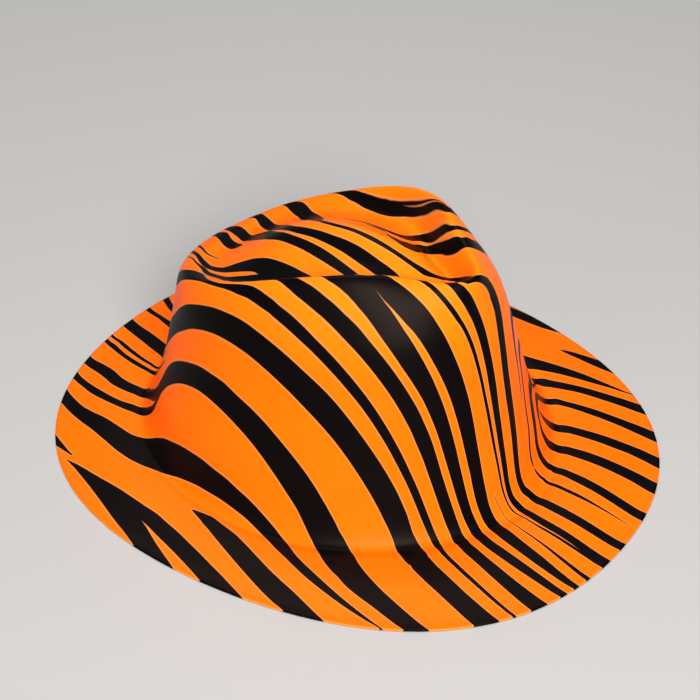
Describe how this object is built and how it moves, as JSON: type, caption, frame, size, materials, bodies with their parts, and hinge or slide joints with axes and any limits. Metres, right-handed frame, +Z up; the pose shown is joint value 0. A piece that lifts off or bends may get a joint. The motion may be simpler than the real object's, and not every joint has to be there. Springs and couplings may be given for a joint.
{
  "type": "striped plastic fedora hat",
  "caption": "One-piece moulded fedora with a flat oval brim and a teardrop-creased crown, printed with animal stripes; worn on the head as a party hat.",
  "frame": {"origin": "middle of the brim, on the surface that the hat rests on", "axes": "+Z up through the crown, -Y towards the front of the hat, -X towards the wearer's right"},
  "size_m": [0.2568, 0.292, 0.1157],
  "materials": {
    "printed_plastic": "satin, orange with black printed stripes on the outside and plain orange inside"
  },
  "bodies": {
    "root": {"hat_shell": "printed_plastic"}
  },
  "joints": []
}
